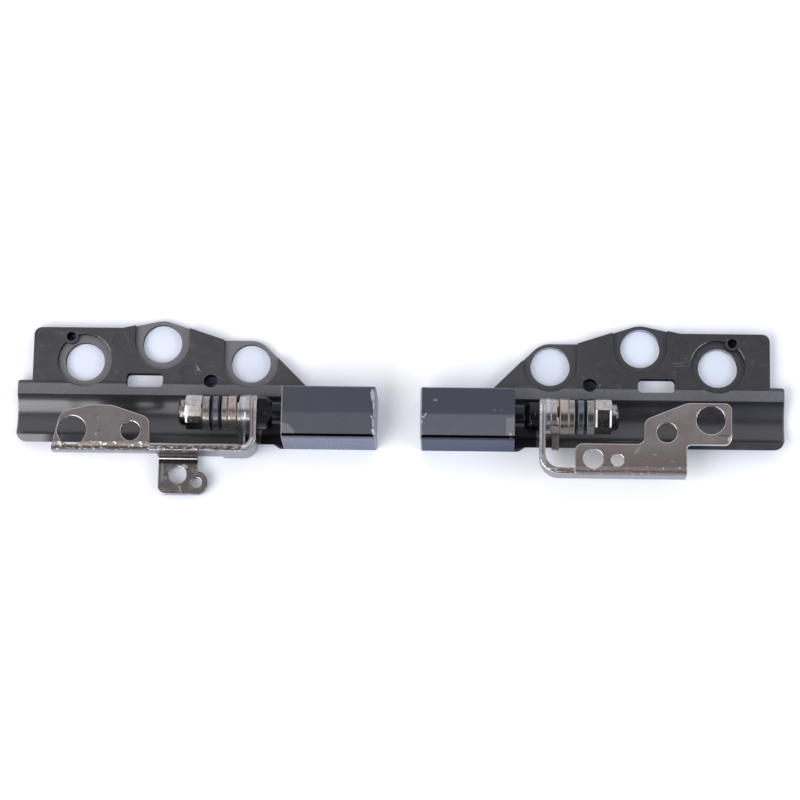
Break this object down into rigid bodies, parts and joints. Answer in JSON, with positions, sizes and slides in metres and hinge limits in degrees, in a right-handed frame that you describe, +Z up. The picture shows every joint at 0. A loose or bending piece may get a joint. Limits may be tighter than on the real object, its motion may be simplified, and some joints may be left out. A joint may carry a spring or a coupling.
{
  "type": "laptop hinge pair",
  "caption": "Pair of laptop hinges lying open: cast lid plates with capped barrels, folded sheet base brackets and friction washer stacks on their shafts.",
  "frame": {"origin": "centre of the pair's footprint, on the surface that the lid plates lie on", "axes": "+X along both hinge axes from the left unit to the right one, +Y from the base brackets to the lid plates, +Z up"},
  "size_m": [0.129, 0.0298, 0.0087],
  "materials": {
    "plate_coat": "dark warm grey satin coat on die-cast metal",
    "cap_paint": "blue-grey satin paint, chipped to bare metal at the ends",
    "black_steel": "blackened, lightly greased",
    "nickel_sheet": "nickel plate on stamped sheet",
    "collar_steel": "plated, slightly brown",
    "friction_metal": "brownish bearing metal",
    "washer_steel": "plain steel",
    "spring_black": "black spring steel",
    "nut_plating": "bright nickel plate"
  },
  "bodies": {
    "lid_side": {"left_hinge_plate": "plate_coat", "left_barrel_cap": "cap_paint", "left_shaft": "black_steel", "left_friction_washer": "friction_metal", "left_pressure_washer": "washer_steel", "left_inner_disc_spring": "spring_black", "left_spacer_washer": "washer_steel", "left_outer_disc_spring": "spring_black", "left_thrust_washer": "washer_steel", "left_lock_nut": "nut_plating", "right_hinge_plate": "plate_coat", "right_barrel_cap": "cap_paint", "right_shaft": "black_steel", "right_friction_washer": "friction_metal", "right_pressure_washer": "washer_steel", "right_inner_disc_spring": "spring_black", "right_spacer_washer": "washer_steel", "right_outer_disc_spring": "spring_black", "right_thrust_washer": "washer_steel", "right_lock_nut": "nut_plating"},
    "left_base": {"left_base_bracket": "nickel_sheet", "left_stop_collar": "collar_steel"},
    "right_base": {"right_base_bracket": "nickel_sheet", "right_stop_collar": "collar_steel"}
  },
  "joints": [
    {"name": "left_hinge", "type": "hinge", "parent": "lid_side", "child": "left_base", "pos_m": [-0.024, -0.00168, 0.0057], "axis": [-1, 0, 0], "range_deg": [0, 180]},
    {"name": "right_hinge", "type": "hinge", "parent": "lid_side", "child": "right_base", "pos_m": [0.024, -0.00168, 0.0057], "axis": [-1, 0, 0], "range_deg": [0, 180]}
  ]
}
